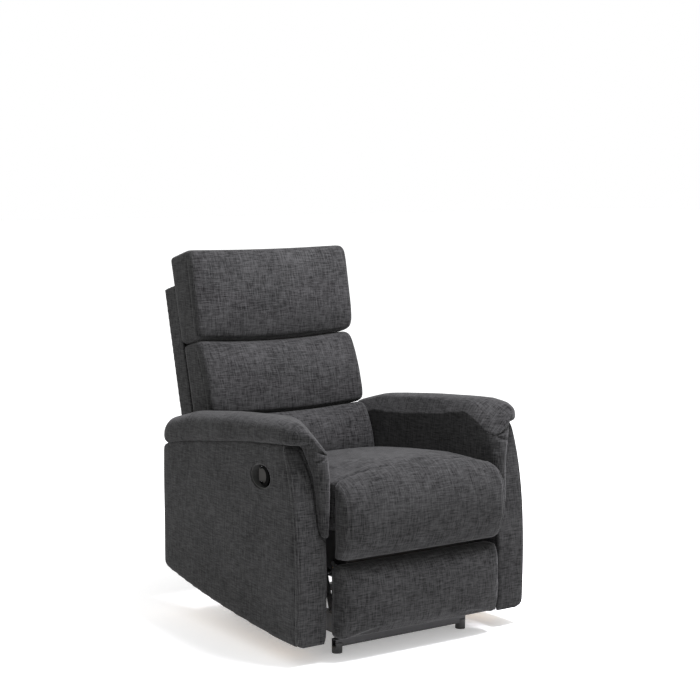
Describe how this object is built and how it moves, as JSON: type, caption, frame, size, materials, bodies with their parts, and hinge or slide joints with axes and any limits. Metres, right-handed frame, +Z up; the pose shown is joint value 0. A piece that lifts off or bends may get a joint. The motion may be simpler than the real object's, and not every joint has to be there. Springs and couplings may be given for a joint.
{
  "type": "recliner armchair",
  "caption": "Fabric recliner armchair: padded arms on a steel base, swinging seat, reclining three-cushion back, fold-out footrest on lazy-tongs bars and a latch in one arm.",
  "frame": {"origin": "floor level, at the centre of the upright chair's bounding box", "axes": "+X to the sitter's left, +Y to the rear, +Z up"},
  "size_m": [0.746, 0.9383, 1.0172],
  "materials": {
    "charcoal_fabric": "slubbed linen-look weave, matt",
    "black_steel": "black powder coat",
    "link_steel": "black lacquered strip steel",
    "zinc": "zinc plated",
    "timber": "sawn softwood and plywood",
    "black_plastic": "moulded, fine texture",
    "cable_sheath": "satin sheath"
  },
  "bodies": {
    "base": {"cross_tubes": "black_steel", "glide_feet": "black_plastic", "base_rail_left": "black_steel", "base_rail_right": "black_steel", "base_plate_left": "black_steel", "base_plate_right": "black_steel", "base_rivets": "zinc", "arm_fasteners": "zinc", "arm_frame_left": "timber", "arm_frame_right": "timber", "arm_panel_left": "charcoal_fabric", "arm_panel_right": "charcoal_fabric", "arm_facing_left": "charcoal_fabric", "arm_facing_right": "charcoal_fabric", "arm_liner_left": "charcoal_fabric", "arm_liner_right": "charcoal_fabric", "arm_pad_left": "charcoal_fabric", "arm_pad_right": "charcoal_fabric", "latch_bezel": "black_plastic", "lever_pin": "zinc", "lever_spring": "zinc", "release_cable": "cable_sheath", "cable_clamp": "zinc"},
    "release_lever": {"release_paddle": "black_plastic"},
    "front_swing": {"front_swing_links": "link_steel", "front_swing_rivets": "zinc"},
    "rear_swing": {"rear_swing_links": "link_steel", "rear_swing_rivets": "zinc"},
    "seat": {"seat_plate_left": "black_steel", "seat_plate_right": "black_steel", "seat_front_rail": "black_steel", "seat_rear_rail": "black_steel", "seat_rivets": "zinc", "seat_springs": "zinc", "spring_clips": "zinc", "seat_cushion": "charcoal_fabric", "seat_front_roll": "charcoal_fabric"},
    "long_link": {"long_links": "link_steel", "long_link_rivets": "zinc"},
    "cross_link": {"cross_links": "link_steel", "cross_link_rivets": "zinc"},
    "lift_link": {"lift_links": "link_steel", "lift_link_rivets": "zinc"},
    "follower_link": {"follower_links": "link_steel", "follower_rivets": "zinc"},
    "end_link": {"end_links": "link_steel", "end_link_rivets": "zinc"},
    "control_link": {"control_links": "link_steel"},
    "footrest": {"footrest_bracket_left": "black_steel", "footrest_bracket_right": "black_steel", "footrest_board": "timber", "footrest_pad": "charcoal_fabric"},
    "backrest": {"back_bracket_left": "black_steel", "back_bracket_right": "black_steel", "back_frame": "timber", "back_springs": "zinc", "back_shell": "charcoal_fabric", "headrest": "charcoal_fabric", "middle_pillow": "charcoal_fabric", "lumbar_pillow": "charcoal_fabric"}
  },
  "joints": [
    {"name": "latch_pull", "type": "hinge", "parent": "base", "child": "release_lever", "pos_m": [-0.35, -0.21, 0.466], "axis": [0, 0, -1], "range_deg": [0, 28], "stiffness_Nm_per_rad": 0.3},
    {"name": "seat_swing", "type": "hinge", "parent": "base", "child": "front_swing", "pos_m": [0, -0.12, 0.13], "axis": [1, 0, 0], "range_deg": [0, 40]},
    {"name": "rear_swing_turn", "type": "hinge", "parent": "base", "child": "rear_swing", "pos_m": [0, 0.11, 0.13], "axis": [1, 0, 0], "range_deg": [0, 40]},
    {"name": "seat_level", "type": "hinge", "parent": "front_swing", "child": "seat", "pos_m": [0, -0.08238, 0.23337], "axis": [1, 0, 0], "range_deg": [-40, 0]},
    {"name": "back_recline", "type": "hinge", "parent": "seat", "child": "backrest", "pos_m": [0, 0.165, 0.33], "axis": [-1, 0, 0], "range_deg": [0, 35]},
    {"name": "footrest_open", "type": "hinge", "parent": "seat", "child": "long_link", "pos_m": [0, -0.32, 0.232], "axis": [-1, 0, 0], "range_deg": [0, 82]},
    {"name": "cross_turn", "type": "hinge", "parent": "long_link", "child": "cross_link", "pos_m": [0, -0.32802, 0.14035], "axis": [1, 0, 0], "range_deg": [0, 126.01]},
    {"name": "lift_turn", "type": "hinge", "parent": "long_link", "child": "lift_link", "pos_m": [0, -0.33604, 0.0487], "axis": [1, 0, 0], "range_deg": [0, 126.01]},
    {"name": "follower_turn", "type": "hinge", "parent": "cross_link", "child": "follower_link", "pos_m": [0, -0.3421, 0.22924], "axis": [-1, 0, 0], "range_deg": [0, 126.01]},
    {"name": "end_turn", "type": "hinge", "parent": "follower_link", "child": "end_link", "pos_m": [0, -0.35752, 0.05292], "axis": [1, 0, 0], "range_deg": [0, 126.01]},
    {"name": "footrest_turn", "type": "hinge", "parent": "lift_link", "child": "footrest", "pos_m": [0, -0.36388, 0.22451], "axis": [-1, 0, 0], "range_deg": [0, 126.01]},
    {"name": "control_turn", "type": "hinge", "parent": "seat", "child": "control_link", "pos_m": [0, -0.29664, 0.20702], "axis": [-1, 0, 0], "range_deg": [0, 76.36]}
  ],
  "couplings": [
    {"joint": "rear_swing_turn", "follows": "seat_swing", "ratio": 1},
    {"joint": "seat_level", "follows": "seat_swing", "ratio": -1},
    {"joint": "back_recline", "follows": "seat_swing", "ratio": 0.875},
    {"joint": "cross_turn", "follows": "footrest_open", "ratio": 1.5366},
    {"joint": "lift_turn", "follows": "footrest_open", "ratio": 1.5366},
    {"joint": "follower_turn", "follows": "footrest_open", "ratio": 1.5366},
    {"joint": "end_turn", "follows": "footrest_open", "ratio": 1.5366},
    {"joint": "footrest_turn", "follows": "footrest_open", "ratio": 1.5366},
    {"joint": "control_turn", "follows": "footrest_open", "ratio": 0.93104}
  ]
}
